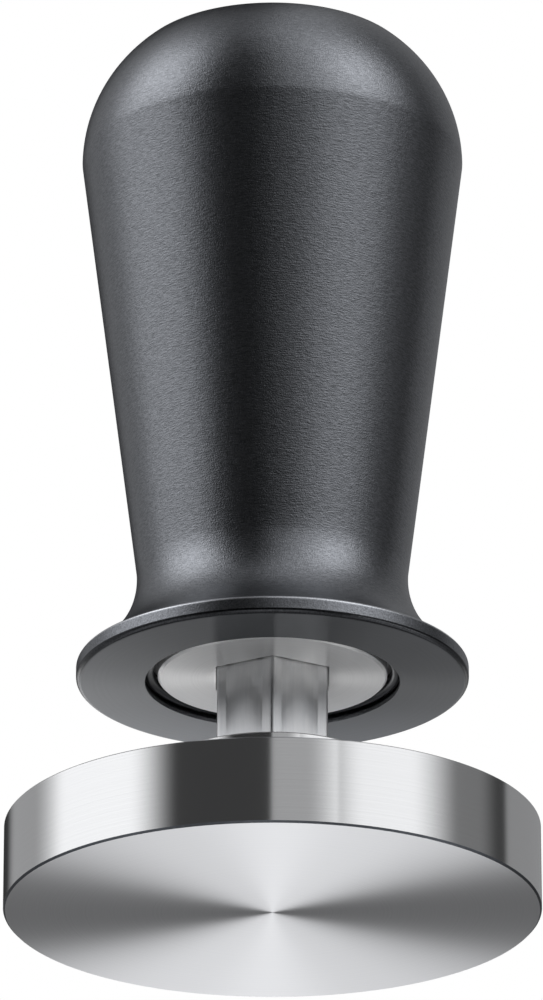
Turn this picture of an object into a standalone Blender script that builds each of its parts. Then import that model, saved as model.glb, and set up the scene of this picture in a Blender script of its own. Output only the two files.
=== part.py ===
"""Spring-loaded espresso tamper with a 58 mm base.

The base is screwed to a hexagonal shaft. The handle slides down the shaft against a
compression spring, guided by a plate with a hexagonal hole in the handle's mouth.
Distances are named in millimetres and turned into metres as the meshes are made. +Z is up,
the tamping face lies on Z = 0, and every turned piece has its axis on the Z axis.
"""
import math

import bmesh
import bpy
from mathutils import Matrix

MM = 0.001

# Spaces between pieces.
GAP = 0.3                     # left between faces that rest on each other
GUIDE_PLAY = 0.15             # between each flat of the shaft and the guide plate
OVERSHOOT = 1.0               # how far a cutter passes the face that it cuts

# Broken edges and drilled ends that many pieces share.
END_CHAMFER = 0.5
HEAD_CHAMFER = 0.4
DRILL_POINT = 1.2

# Base: the tamping disc and its boss, in one piece.
BASE_RADIUS = 29.0
BASE_HEIGHT = 9.5
BOSS_RADIUS = 12.2
BOSS_TOP = 16.3
BOSS_FILLET = 1.0
BASE_EDGE = 0.25

# Stud that joins the base to the shaft.
STUD_RADIUS = 3.7
STUD_BOTTOM = 6.3
STUD_TOP = 22.2
STUD_SOCKET_FLATS = 4.0
STUD_SOCKET_DEPTH = 3.5

# Hexagonal shaft.
HEX_FLATS = 12.0
SHAFT_BOTTOM = BOSS_TOP + GAP
SHAFT_TOP = 33.7
SHAFT_END_CONE = math.radians(30)

# Handle.
FLANGE_BOTTOM = 26.4
FLANGE_RADIUS = 21.4
FLANGE_CHAMFER = 0.5
NECK_RADIUS = 14.87
NECK_HEIGHT = 38.3
FLARE_ARC = 11.0
CONE_ANGLE = math.radians(7.4)
WIDEST_HEIGHT = 88.1
SHOULDER_ARC = 17.0
SHOULDER_END = math.radians(49.4)
CROWN_EDGE_ARC = 2.85
CROWN_EDGE_END = math.radians(71.0)

# Handle's bores, from the mouth upwards.
MOUTH_RADIUS = 13.9
MOUTH_CHAMFER = 0.2
GROOVE_RADIUS = 14.5
GROOVE_BOTTOM = 26.95
GROOVE_TOP = 28.85
COUNTERBORE_RADIUS = 13.6
COUNTERBORE_TOP = 32.2
BORE_RADIUS = 10.3
BORE_TOP = 82.5

# Guide plate and the ring that holds it.
PLATE_BOTTOM = 26.9
PLATE_STEP = 28.85
PLATE_TOP = 31.9
PLATE_FACE_RADIUS = 12.5
PLATE_RIM_RADIUS = 13.3
PLATE_CHAMFER = 0.3
RING_WIRE_RADIUS = 0.65
RING_RADIUS = 13.55
RING_HEIGHT = 27.9
RING_OPENING = math.radians(12)

# Stop collar and its fasteners.
BUMPER_INNER_RADIUS = 7.2
BUMPER_RADIUS = 9.5
BUMPER_THICKNESS = 1.5
COLLAR_BOTTOM = SHAFT_TOP + GAP
COLLAR_FLANGE = 2.5
COLLAR_SPIGOT = 2.0
COLLAR_RADIUS = 9.6
SPIGOT_RADIUS = 7.0
SCREW_HOLE_RADIUS = 3.3
SCREW_RADIUS = 2.7
SCREW_THREAD_BOTTOM = 27.0
SCREW_HEAD_RADIUS = 5.0
SCREW_HEAD_HEIGHT = 6.0
SCREW_SOCKET_FLATS = 5.0
SCREW_SOCKET_DEPTH = 3.0
WASHER_RADIUS = 5.2
WASHER_INNER_RADIUS = 3.1
WASHER_THICKNESS = 1.5
WASHER_OPENING = math.radians(10)

# Main spring and its upper seat.
SPRING_RADIUS = 8.5
SPRING_WIRE_RADIUS = 1.1
SPRING_TOP = 79.9
ACTIVE_TURNS = 11
END_PITCH = 2.5               # rise of the close turn at each end
SEAT_RADIUS = 9.9
SEAT_SPIGOT = 3.0
SEAT_BOTTOM = SPRING_TOP + GAP
SEAT_THICKNESS = 2.0

# Fineness of the meshes.
LARGE_SEGMENTS = 72
SMALL_SEGMENTS = 36
SPRING_STEPS = 16             # in each turn of the spring
SHARP_ANGLE = math.radians(25)


def clear_scene():
    for item in list(bpy.data.objects):
        bpy.data.objects.remove(item, do_unlink=True)


def make_material(name, color, metallic, roughness):
    material = bpy.data.materials.new(name)
    material.use_nodes = True
    shader = material.node_tree.nodes["Principled BSDF"]
    shader.inputs["Base Color"].default_value = (*color, 1.0)
    shader.inputs["Metallic"].default_value = metallic
    shader.inputs["Roughness"].default_value = roughness
    material.diffuse_color = (*color, 1.0)
    return material


def arc(center, radius, start, end, steps):
    """Points of an arc in the turning plane, from angle start to angle end."""
    turn = (end - start) / steps
    return [
        (center[0] + radius * math.cos(start + turn * i), center[1] + radius * math.sin(start + turn * i))
        for i in range(steps + 1)
    ]


def finish(bm, name, material, bottom=0.0):
    """Turn a bmesh in millimetres into a named object whose origin is at the height bottom."""
    bmesh.ops.translate(bm, verts=bm.verts, vec=(0, 0, -bottom))
    bmesh.ops.scale(bm, verts=bm.verts, vec=(MM, MM, MM))
    bmesh.ops.recalc_face_normals(bm, faces=bm.faces)
    mesh = bpy.data.meshes.new(name)
    bm.to_mesh(mesh)
    bm.free()
    mesh.shade_smooth()
    mesh.set_sharp_from_angle(angle=SHARP_ANGLE)
    part = bpy.data.objects.new(name, mesh)
    part.location.z = bottom * MM
    if material is not None:
        mesh.materials.append(material)
    bpy.context.collection.objects.link(part)
    return part


def turned(name, outline, material, bottom, closed=False, segments=LARGE_SEGMENTS):
    """Spin an outline of (radius, height) points about Z. An open one starts and ends on the axis."""
    bm = bmesh.new()
    points = [bm.verts.new((radius, 0, height)) for radius, height in outline]
    pairs = list(zip(points, points[1:]))
    if closed:
        pairs.append((points[-1], points[0]))
    edges = [bm.edges.new(pair) for pair in pairs]
    bmesh.ops.spin(
        bm, geom=points + edges, cent=(0, 0, 0), axis=(0, 0, 1),
        angle=math.tau, steps=segments, use_merge=True,
    )
    bmesh.ops.remove_doubles(bm, verts=bm.verts, dist=0.0001)
    return finish(bm, name, material, bottom)


def split_ring(name, outline, opening, material, bottom):
    """Spin a closed outline through less than a full turn, leaving an opening at +Y."""
    bm = bmesh.new()
    points = [bm.verts.new((radius, 0, height)) for radius, height in outline]
    bmesh.ops.rotate(bm, verts=points, matrix=Matrix.Rotation((math.pi + opening) / 2, 3, "Z"))
    loop = [bm.edges.new(pair) for pair in zip(points, points[1:] + points[:1])]
    bmesh.ops.spin(
        bm, geom=points + loop, cent=(0, 0, 0), axis=(0, 0, 1),
        angle=math.tau - opening, steps=SMALL_SEGMENTS, use_merge=False,
    )
    bmesh.ops.holes_fill(bm, edges=bm.edges)
    return finish(bm, name, material, bottom)


def hexagon(name, flats, low, high, material=None, bottom=0.0):
    """A hexagonal prism with a corner towards -Y and +Y."""
    corner = flats / math.sqrt(3)
    middle = Matrix.Translation((0, 0, (low + high) / 2))
    bm = bmesh.new()
    bmesh.ops.create_cone(
        bm, cap_ends=True, segments=6, radius1=corner, radius2=corner, depth=high - low, matrix=middle
    )
    return finish(bm, name, material, bottom)


def as_cutter(part):
    part.hide_render = True
    part.display_type = "WIRE"
    return part


def boolean(part, cutter, operation):
    modifier = part.modifiers.new(operation.lower(), "BOOLEAN")
    modifier.operation = operation
    modifier.solver = "EXACT"
    modifier.object = as_cutter(cutter)


def build_base(steel):
    foot = (BOSS_RADIUS + BOSS_FILLET, BASE_HEIGHT + BOSS_FILLET)
    hole = STUD_RADIUS + GAP
    hole_bottom = STUD_BOTTOM - GAP
    outline = [
        (0, 0),
        (BASE_RADIUS - BASE_EDGE, 0),
        (BASE_RADIUS, BASE_EDGE),
        (BASE_RADIUS, BASE_HEIGHT - BASE_EDGE),
        (BASE_RADIUS - BASE_EDGE, BASE_HEIGHT),
        *arc(foot, BOSS_FILLET, math.radians(270), math.radians(180), 4),
        (BOSS_RADIUS, BOSS_TOP - BASE_EDGE),
        (BOSS_RADIUS - BASE_EDGE, BOSS_TOP),
        (hole, BOSS_TOP),
        (hole, hole_bottom),
        (0, hole_bottom - DRILL_POINT),
    ]
    return turned("base", outline, steel, 0.0)


def build_stud(steel):
    outline = [
        (0, STUD_BOTTOM),
        (STUD_RADIUS - END_CHAMFER, STUD_BOTTOM),
        (STUD_RADIUS, STUD_BOTTOM + END_CHAMFER),
        (STUD_RADIUS, STUD_TOP - END_CHAMFER),
        (STUD_RADIUS - END_CHAMFER, STUD_TOP),
        (0, STUD_TOP),
    ]
    stud = turned("base_stud", outline, steel, STUD_BOTTOM, segments=SMALL_SEGMENTS)
    socket_floor = STUD_TOP - STUD_SOCKET_DEPTH
    socket = hexagon("stud_socket", STUD_SOCKET_FLATS, socket_floor, STUD_TOP + OVERSHOOT)
    boolean(stud, socket, "DIFFERENCE")
    return stud


def build_shaft(steel):
    """A hexagonal bar, kept only where it lies inside a turned envelope.

    The envelope leaves out the two drilled holes, and its cone takes the corners off the
    bar's upper end.
    """
    bar = hexagon("hex_shaft", HEX_FLATS, SHAFT_BOTTOM, SHAFT_TOP, steel, SHAFT_BOTTOM)
    flat = HEX_FLATS / 2
    outside = HEX_FLATS / math.sqrt(3) + OVERSHOOT
    slope = math.tan(SHAFT_END_CONE)
    above = SHAFT_TOP + OVERSHOOT * slope
    below = SHAFT_BOTTOM - OVERSHOOT
    stud_hole = STUD_RADIUS + GAP
    stud_hole_end = STUD_TOP + GAP
    screw_hole = SCREW_RADIUS + GAP
    screw_hole_end = SCREW_THREAD_BOTTOM - GAP
    outline = [
        (0, stud_hole_end + DRILL_POINT),
        (stud_hole, stud_hole_end),
        (stud_hole, below),
        (outside, below),
        (outside, SHAFT_TOP - (outside - flat) * slope),
        (flat - OVERSHOOT, above),
        (screw_hole, above),
        (screw_hole, screw_hole_end),
        (0, screw_hole_end - DRILL_POINT),
    ]
    envelope = turned("shaft_envelope", outline, None, 0.0, segments=SMALL_SEGMENTS)
    boolean(bar, envelope, "INTERSECT")
    return bar


def build_bumper(nylon):
    bottom = COLLAR_BOTTOM - GAP - BUMPER_THICKNESS
    top = bottom + BUMPER_THICKNESS
    outline = [
        (BUMPER_INNER_RADIUS, bottom),
        (BUMPER_RADIUS, bottom),
        (BUMPER_RADIUS, top),
        (BUMPER_INNER_RADIUS, top),
    ]
    return turned("bumper_washer", outline, nylon, bottom, closed=True, segments=SMALL_SEGMENTS)


def build_collar(steel):
    flange_top = COLLAR_BOTTOM + COLLAR_FLANGE
    top = flange_top + COLLAR_SPIGOT
    outline = [
        (SCREW_HOLE_RADIUS, COLLAR_BOTTOM),
        (COLLAR_RADIUS, COLLAR_BOTTOM),
        (COLLAR_RADIUS, flange_top),
        (SPIGOT_RADIUS, flange_top),
        (SPIGOT_RADIUS, top - END_CHAMFER),
        (SPIGOT_RADIUS - END_CHAMFER, top),
        (SCREW_HOLE_RADIUS, top),
    ]
    return turned("stop_collar", outline, steel, COLLAR_BOTTOM, closed=True, segments=SMALL_SEGMENTS)


def build_washer(steel):
    """A flat ring with a slot, as a split washer is when it is screwed down."""
    bottom = COLLAR_BOTTOM + COLLAR_FLANGE + COLLAR_SPIGOT + GAP
    top = bottom + WASHER_THICKNESS
    outline = [
        (WASHER_INNER_RADIUS, bottom),
        (WASHER_RADIUS, bottom),
        (WASHER_RADIUS, top),
        (WASHER_INNER_RADIUS, top),
    ]
    return split_ring("lock_washer", outline, WASHER_OPENING, steel, bottom)


def build_screw(steel):
    head_bottom = COLLAR_BOTTOM + COLLAR_FLANGE + COLLAR_SPIGOT + WASHER_THICKNESS + 2 * GAP
    head_top = head_bottom + SCREW_HEAD_HEIGHT
    outline = [
        (0, SCREW_THREAD_BOTTOM),
        (SCREW_RADIUS - END_CHAMFER, SCREW_THREAD_BOTTOM),
        (SCREW_RADIUS, SCREW_THREAD_BOTTOM + END_CHAMFER),
        (SCREW_RADIUS, head_bottom),
        (SCREW_HEAD_RADIUS, head_bottom),
        (SCREW_HEAD_RADIUS, head_top - HEAD_CHAMFER),
        (SCREW_HEAD_RADIUS - HEAD_CHAMFER, head_top),
        (0, head_top),
    ]
    screw = turned("collar_screw", outline, steel, SCREW_THREAD_BOTTOM, segments=SMALL_SEGMENTS)
    socket_floor = head_top - SCREW_SOCKET_DEPTH
    socket = hexagon("screw_socket", SCREW_SOCKET_FLATS, socket_floor, head_top + OVERSHOOT)
    boolean(screw, socket, "DIFFERENCE")
    return screw


def build_spring(steel):
    """A round wire along a helix, with one close turn at each end."""
    bottom = COLLAR_BOTTOM + COLLAR_FLANGE + GAP
    rise = SPRING_TOP - bottom - 2 * SPRING_WIRE_RADIUS
    active_pitch = (rise - 2 * END_PITCH) / ACTIVE_TURNS
    curve = bpy.data.curves.new("main_spring", "CURVE")
    curve.dimensions = "3D"
    curve.bevel_depth = SPRING_WIRE_RADIUS * MM
    curve.bevel_resolution = 1
    curve.use_fill_caps = True
    curve.materials.append(steel)
    coil = curve.splines.new("POLY")
    coil.points.add((ACTIVE_TURNS + 2) * SPRING_STEPS)
    for step, point in enumerate(coil.points):
        turn = step / SPRING_STEPS
        end_turns = min(turn, 1) + max(turn - 1 - ACTIVE_TURNS, 0)
        active_turns = turn - end_turns
        x = SPRING_RADIUS * math.cos(math.tau * turn)
        y = SPRING_RADIUS * math.sin(math.tau * turn)
        z = SPRING_WIRE_RADIUS + end_turns * END_PITCH + active_turns * active_pitch
        point.co = (x * MM, y * MM, z * MM, 1.0)
    spring = bpy.data.objects.new("main_spring", curve)
    spring.location.z = bottom * MM
    bpy.context.collection.objects.link(spring)
    return spring


def build_seat(steel):
    outline = [
        (0, SEAT_BOTTOM - SEAT_SPIGOT),
        (SPIGOT_RADIUS - END_CHAMFER, SEAT_BOTTOM - SEAT_SPIGOT),
        (SPIGOT_RADIUS, SEAT_BOTTOM - SEAT_SPIGOT + END_CHAMFER),
        (SPIGOT_RADIUS, SEAT_BOTTOM),
        (SEAT_RADIUS, SEAT_BOTTOM),
        (SEAT_RADIUS, SEAT_BOTTOM + SEAT_THICKNESS),
        (0, SEAT_BOTTOM + SEAT_THICKNESS),
    ]
    return turned("spring_seat", outline, steel, SEAT_BOTTOM - SEAT_SPIGOT, segments=SMALL_SEGMENTS)


def handle_outline():
    """The handle's bores from their closed end down, then its outside from the flange up."""
    bores = [
        (0, BORE_TOP),
        (BORE_RADIUS, BORE_TOP),
        (BORE_RADIUS, COUNTERBORE_TOP),
        (COUNTERBORE_RADIUS, COUNTERBORE_TOP),
        (COUNTERBORE_RADIUS, GROOVE_TOP),
        (GROOVE_RADIUS, GROOVE_TOP),
        (GROOVE_RADIUS, GROOVE_BOTTOM),
        (MOUTH_RADIUS, GROOVE_BOTTOM),
        (MOUTH_RADIUS, FLANGE_BOTTOM + MOUTH_CHAMFER),
        (MOUTH_RADIUS + MOUTH_CHAMFER, FLANGE_BOTTOM),
        (FLANGE_RADIUS - FLANGE_CHAMFER, FLANGE_BOTTOM),
        (FLANGE_RADIUS, FLANGE_BOTTOM + FLANGE_CHAMFER),
    ]
    flare_center = (NECK_RADIUS + FLARE_ARC, NECK_HEIGHT)
    rim_turn = math.acos((flare_center[0] - FLANGE_RADIUS) / FLARE_ARC)
    flare = arc(flare_center, FLARE_ARC, math.pi + rim_turn, math.pi - CONE_ANGLE, 10)
    cone_foot = flare[-1]
    widest = cone_foot[0] + (WIDEST_HEIGHT - cone_foot[1]) * math.tan(CONE_ANGLE)
    shoulder_center = (widest - SHOULDER_ARC, WIDEST_HEIGHT)
    shoulder = arc(shoulder_center, SHOULDER_ARC, 0, SHOULDER_END, 10)
    inset = SHOULDER_ARC - CROWN_EDGE_ARC
    edge_center = (
        shoulder_center[0] + inset * math.cos(SHOULDER_END),
        shoulder_center[1] + inset * math.sin(SHOULDER_END),
    )
    edge = arc(edge_center, CROWN_EDGE_ARC, SHOULDER_END, CROWN_EDGE_END, 4)
    crown_arc = edge[-1][0] / math.cos(CROWN_EDGE_END)
    crown_center = (0, edge[-1][1] - crown_arc * math.sin(CROWN_EDGE_END))
    crown = arc(crown_center, crown_arc, CROWN_EDGE_END, math.pi / 2, 5)
    crown[-1] = (0, crown[-1][1])
    return bores + flare + shoulder + edge[1:] + crown[1:]


def build_handle(aluminium):
    return turned("handle", handle_outline(), aluminium, FLANGE_BOTTOM)


def build_plate(steel):
    outline = [
        (0, PLATE_BOTTOM),
        (PLATE_FACE_RADIUS - PLATE_CHAMFER, PLATE_BOTTOM),
        (PLATE_FACE_RADIUS, PLATE_BOTTOM + PLATE_CHAMFER),
        (PLATE_FACE_RADIUS, PLATE_STEP),
        (PLATE_RIM_RADIUS, PLATE_STEP),
        (PLATE_RIM_RADIUS, PLATE_TOP),
        (0, PLATE_TOP),
    ]
    plate = turned("guide_plate", outline, steel, PLATE_BOTTOM)
    hole_flats = HEX_FLATS + 2 * GUIDE_PLAY
    hole = hexagon("guide_hole", hole_flats, PLATE_BOTTOM - OVERSHOOT, PLATE_TOP + OVERSHOOT)
    boolean(plate, hole, "DIFFERENCE")
    return plate


def build_snap_ring(steel):
    outline = arc((RING_RADIUS, RING_HEIGHT), RING_WIRE_RADIUS, 0, math.tau, 8)[:-1]
    return split_ring("snap_ring", outline, RING_OPENING, steel, RING_HEIGHT)


def main():
    clear_scene()
    polished_steel = make_material("polished_steel", (0.78, 0.77, 0.75), 1.0, 0.16)
    turned_steel = make_material("turned_steel", (0.66, 0.65, 0.63), 1.0, 0.30)
    drawn_steel = make_material("drawn_steel", (0.60, 0.59, 0.57), 1.0, 0.32)
    black_anodised = make_material("black_anodised_aluminium", (0.022, 0.022, 0.024), 0.7, 0.34)
    black_spring_steel = make_material("black_spring_steel", (0.03, 0.03, 0.03), 0.8, 0.38)
    spring_steel = make_material("spring_steel", (0.42, 0.41, 0.40), 1.0, 0.35)
    black_oxide_steel = make_material("black_oxide_steel", (0.05, 0.05, 0.055), 0.9, 0.42)
    nylon = make_material("white_nylon", (0.80, 0.79, 0.74), 0.0, 0.55)

    build_base(polished_steel)
    build_stud(black_oxide_steel)
    build_shaft(drawn_steel)
    build_bumper(nylon)
    build_collar(turned_steel)
    build_washer(spring_steel)
    build_screw(black_oxide_steel)
    build_spring(spring_steel)

    slide = bpy.data.objects.new("handle_slide", None)
    slide.location.z = FLANGE_BOTTOM * MM
    bpy.context.collection.objects.link(slide)
    sliding = [
        build_handle(black_anodised),
        build_plate(turned_steel),
        build_snap_ring(black_spring_steel),
        build_seat(turned_steel),
    ]
    bpy.context.view_layer.update()
    for part in sliding:
        part.parent = slide
        part.matrix_parent_inverse = slide.matrix_world.inverted()


main()
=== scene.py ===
# %% [markdown]
# # A spring-loaded espresso tamper
#
# A tamper presses ground coffee flat in a 58 mm basket. This one has a black anodised
# aluminium handle that slides down a hexagonal steel shaft against a hidden spring, and a
# heavy turned steel base. The CAD model gives the true sizes and the sliding joint. This
# lesson gives each piece its fine shape and its finish.
#
# Every piece made here rides on one of its bodies, so it moves with the joint.

# %% Load the frame
import math

import bmesh
import bpy
from mathutils import Matrix, Vector


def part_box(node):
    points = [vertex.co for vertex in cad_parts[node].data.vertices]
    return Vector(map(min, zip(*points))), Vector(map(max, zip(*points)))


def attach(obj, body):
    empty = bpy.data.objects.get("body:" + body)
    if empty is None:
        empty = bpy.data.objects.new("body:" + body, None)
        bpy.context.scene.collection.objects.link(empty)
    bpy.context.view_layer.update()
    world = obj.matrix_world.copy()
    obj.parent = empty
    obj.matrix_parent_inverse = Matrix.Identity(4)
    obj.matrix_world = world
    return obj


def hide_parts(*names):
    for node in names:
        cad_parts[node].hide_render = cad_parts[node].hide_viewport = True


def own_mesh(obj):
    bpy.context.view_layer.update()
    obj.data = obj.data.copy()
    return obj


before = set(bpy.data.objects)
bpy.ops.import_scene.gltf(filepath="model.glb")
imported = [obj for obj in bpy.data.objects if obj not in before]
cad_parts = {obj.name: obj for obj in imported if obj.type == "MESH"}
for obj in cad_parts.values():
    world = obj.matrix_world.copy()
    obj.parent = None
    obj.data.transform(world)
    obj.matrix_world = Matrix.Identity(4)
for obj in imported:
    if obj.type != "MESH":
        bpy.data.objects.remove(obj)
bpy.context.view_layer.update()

# %% [markdown]
# Almost everything on a tamper is turned on a lathe. A lathe piece is drawn as half an
# outline, a list of (radius, height) points, and the outline is spun about the axis. It
# could also be a cylinder with loops cut into it, but an outline reads like the drawing
# that the turner works from.
#
# All sizes in this lesson are in millimetres. `finished` makes metres of them at the end.

# %% Turning helpers
MM = 0.001
TURN_STEPS = 256
LEAST_CORNER = math.radians(12)
SHARP_CREASE = math.radians(35)
MERGE_DISTANCE = 0.0005


def arc(center, radius, start, end, steps):
    """Points along an arc, from one angle in degrees to another."""
    angles = [math.radians(start + (end - start) * i / steps) for i in range(steps + 1)]
    x, y = center
    return [(x + radius * math.cos(angle), y + radius * math.sin(angle)) for angle in angles]


def softened(points, radius, steps=3):
    """Round every inner corner of an outline with a small fillet, as a deburred edge has.

    A support point before and after each fillet keeps the long faces flat when the
    piece is shaded smooth. A turn too slight to be a corner stays as it is.
    """
    made = [points[0]]
    for i in range(1, len(points) - 1):
        here = Vector(points[i])
        back = Vector(points[i - 1]) - here
        ahead = Vector(points[i + 1]) - here
        turn = math.pi - back.angle(ahead)
        if turn < LEAST_CORNER:
            made.append(points[i])
            continue
        reach = min(radius * math.tan(turn / 2), back.length * 0.45, ahead.length * 0.45)
        start = here + back.normalized() * reach
        end = here + ahead.normalized() * reach
        support = min(reach * 0.6, back.length * 0.05, ahead.length * 0.05)
        made.append(tuple(start + back.normalized() * support))
        for step in range(steps + 1):
            t = step / steps
            made.append(tuple(start * (1 - t) ** 2 + here * 2 * t * (1 - t) + end * t**2))
        made.append(tuple(end + ahead.normalized() * support))
    return made + [points[-1]]


def finished(bm, name, body, node, material):
    """Store a bmesh drawn in millimetres as a smooth piece that stands for a CAD node."""
    bmesh.ops.remove_doubles(bm, verts=bm.verts, dist=MERGE_DISTANCE)
    bmesh.ops.recalc_face_normals(bm, faces=bm.faces)
    bmesh.ops.scale(bm, verts=bm.verts, vec=(MM, MM, MM))
    mesh = bpy.data.meshes.new(name)
    bm.to_mesh(mesh)
    bm.free()
    mesh.shade_smooth()
    mesh.set_sharp_from_angle(angle=SHARP_CREASE)
    mesh.materials.append(material)
    piece = bpy.data.objects.new(name, mesh)
    bpy.context.collection.objects.link(piece)
    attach(piece, body)
    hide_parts(node)
    print(name, "has", len(mesh.polygons), "faces")
    return piece


def turned(outline, steps=TURN_STEPS, closed=False):
    """A bmesh of an outline spun a full turn about Z."""
    bm = bmesh.new()
    points = [bm.verts.new((radius, 0, height)) for radius, height in outline]
    pairs = list(zip(points, points[1:]))
    if closed:
        pairs.append((points[-1], points[0]))
    edges = [bm.edges.new(pair) for pair in pairs]
    bmesh.ops.spin(
        bm, geom=points + edges, cent=(0, 0, 0), axis=(0, 0, 1),
        angle=math.tau, steps=steps, use_merge=True,
    )
    return bm


# %% [markdown]
# A material here is a small set of nodes. Colours are written as hex values, as a paint
# chart gives them, and one function turns them into the linear values that Blender mixes.
# One more function adds a node, sets its values and links it. Inputs that share a name are
# given by number: in Map Range, 1 to 4 are From Min, From Max, To Min and To Max.

# %% Material helpers
def linear(hex_color):
    """Linear red, green, blue and alpha of an sRGB hex colour."""
    channels = [int(hex_color[i : i + 2], 16) / 255 for i in (1, 3, 5)]
    made = [c / 12.92 if c <= 0.04045 else ((c + 0.055) / 1.055) ** 2.4 for c in channels]
    return (*made, 1.0)


def add_node(tree, kind, links=None, values=None, **settings):
    """Add a node. links maps its inputs to other nodes' outputs, values sets its inputs."""
    node = tree.nodes.new(kind)
    for key, value in settings.items():
        setattr(node, key, value)
    for key, value in (values or {}).items():
        node.inputs[key].default_value = value
    for key, socket in (links or {}).items():
        tree.links.new(socket, node.inputs[key])
    return node


def new_material(name):
    """An empty Principled material. Returns the material, its tree and its shader."""
    material = bpy.data.materials.new(name)
    material.use_nodes = True
    tree = material.node_tree
    return material, tree, tree.nodes["Principled BSDF"]


def place_in_mm(tree):
    """Object coordinates in millimetres."""
    place = add_node(tree, "ShaderNodeTexCoord").outputs["Object"]
    scaled = add_node(tree, "ShaderNodeVectorMath", {0: place}, {3: 1 / MM}, operation="SCALE")
    return scaled.outputs[0]


def radius_and_height(tree, in_mm):
    """Distance from the axis and height, in millimetres."""
    flat = add_node(
        tree, "ShaderNodeVectorMath", {0: in_mm}, {1: (1, 1, 0)}, operation="MULTIPLY"
    ).outputs[0]
    radius = add_node(tree, "ShaderNodeVectorMath", {0: flat}, operation="LENGTH").outputs["Value"]
    height = add_node(tree, "ShaderNodeSeparateXYZ", {0: in_mm}).outputs["Z"]
    return radius, height


def blended(tree, factor, dark, light):
    """A colour between two hex colours."""
    return add_node(
        tree, "ShaderNodeMix", {0: factor}, {6: linear(dark), 7: linear(light)}, data_type="RGBA"
    ).outputs[2]


def smeared(tree, shader, amount):
    """Stretch the highlights across the turning marks, which run round Z."""
    tangent = add_node(tree, "ShaderNodeTangent", direction_type="RADIAL", axis="Z").outputs[0]
    tree.links.new(tangent, shader.inputs["Tangent"])
    shader.inputs["Anisotropic"].default_value = amount
    shader.inputs["Anisotropic Rotation"].default_value = 0.25


print("Black reads as", [round(c, 4) for c in linear("#1c1c1e")[:3]])

# %% [markdown]
# The tamper is looked at from below its base, so the camera is lower than the tamping face
# and tilts up. A long lens keeps the base's rim and the handle in nearly parallel
# perspective, as product pictures do.

# %% Camera
CAMERA_DISTANCE = 832.65
CAMERA_BELOW = math.radians(18.962)
CAMERA_PITCH = math.radians(22.019)
CAMERA_SIDE = -0.104
LENS = 278.145

camera_data = bpy.data.cameras.new("studio_camera")
camera_data.lens = LENS
camera_data.sensor_width = 36.0
camera_data.sensor_fit = "AUTO"
camera_data.clip_start = 0.05
camera_data.clip_end = 50.0
camera = bpy.data.objects.new("studio_camera", camera_data)
camera.location = (
    CAMERA_SIDE * MM,
    -CAMERA_DISTANCE * math.cos(CAMERA_BELOW) * MM,
    -CAMERA_DISTANCE * math.sin(CAMERA_BELOW) * MM,
)
camera.rotation_euler = (math.pi / 2 + CAMERA_PITCH, 0, 0)
bpy.context.collection.objects.link(camera)
bpy.context.scene.camera = camera
bpy.context.scene.view_settings.view_transform = "Standard"
print("Camera is", round(CAMERA_DISTANCE), "mm from the tamping face")

# %% [markdown]
# Polished metal shows its studio more than its own colour, so the light is drawn first. The
# studio is a world shader: a dark room with soft boxes, each a patch of sky between two
# compass directions and two elevations, with soft borders. It could be a set of area lights,
# but a world has no near or far, so every turned face meets the same soft boxes at the same
# angles, and the highlights stay clean.
#
# Compass directions count from the camera, in degrees, and grow to the right.

# %% Studio light
# name: (strength, (left, right), (low, high), side softness, upper and lower softness)
SOFT_BOXES = {
    "left_box": (1.20, (-111, -52), (3, 64), 12, 14),
    "left_box_core": (1.15, (-106, -60), (28, 56), 12, 9),
    "right_box": (1.15, (27, 74), (6, 68), 13, 14),
    "right_box_core": (1.30, (46, 86), (29, 58), 14, 9),
    "front_grey": (0.48, (-0.5, 28), (14, 75), 1.0, 10),
    "right_side_grey": (0.16, (74, 106), (0, 64), 8, 14),
    "left_back_grey": (0.34, (-152, -114), (-10, 70), 8, 10),
    "right_back_grey": (0.26, (119, 172), (4, 70), 2.5, 12),
    "overhead_right": (0.65, (-20, 178), (66, 100), 20, 10),
    "overhead_left": (0.22, (-178, -20), (70, 100), 20, 8),
    "low_card_left": (0.55, (-135, -98), (-28, -6), 10, 6),
    "low_card_right": (0.40, (98, 135), (-28, -6), 10, 6),
    "table_left": (1.20, (-220, -60), (-100, -35), 14, 8),
    "table_right": (1.35, (60, 220), (-100, -35), 14, 8),
    "table_behind_left": (0.85, (-220, -162), (-100, -34), 12, 8),
    "table_behind_right": (0.85, (162, 220), (-100, -34), 12, 8),
    "back_wall_left": (0.14, (-220, -140), (-30, 5), 10, 6),
    "back_wall_right": (0.10, (140, 220), (-30, 5), 10, 6),
    "table_front": (1.5, (-32, 32), (-100, -40), 16, 6),
}
ROOM_GREY = 0.012

world = bpy.data.worlds.new("studio")
bpy.context.scene.world = world
world.use_nodes = True
sky = world.node_tree
sky.nodes.clear()
direction = add_node(sky, "ShaderNodeTexCoord").outputs["Generated"]
parts = add_node(sky, "ShaderNodeSeparateXYZ", {0: direction})
toward_camera = add_node(
    sky, "ShaderNodeMath", {0: parts.outputs["Y"]}, {1: -1.0}, operation="MULTIPLY"
)
compass = add_node(
    sky, "ShaderNodeMath", {0: parts.outputs["X"], 1: toward_camera.outputs[0]}, operation="ARCTAN2"
)
compass = add_node(sky, "ShaderNodeMath", {0: compass.outputs[0]}, operation="DEGREES").outputs[0]
elevation = add_node(sky, "ShaderNodeMath", {0: parts.outputs["Z"]}, operation="ARCSINE")
elevation = add_node(
    sky, "ShaderNodeMath", {0: elevation.outputs[0]}, operation="DEGREES"
).outputs[0]


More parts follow.
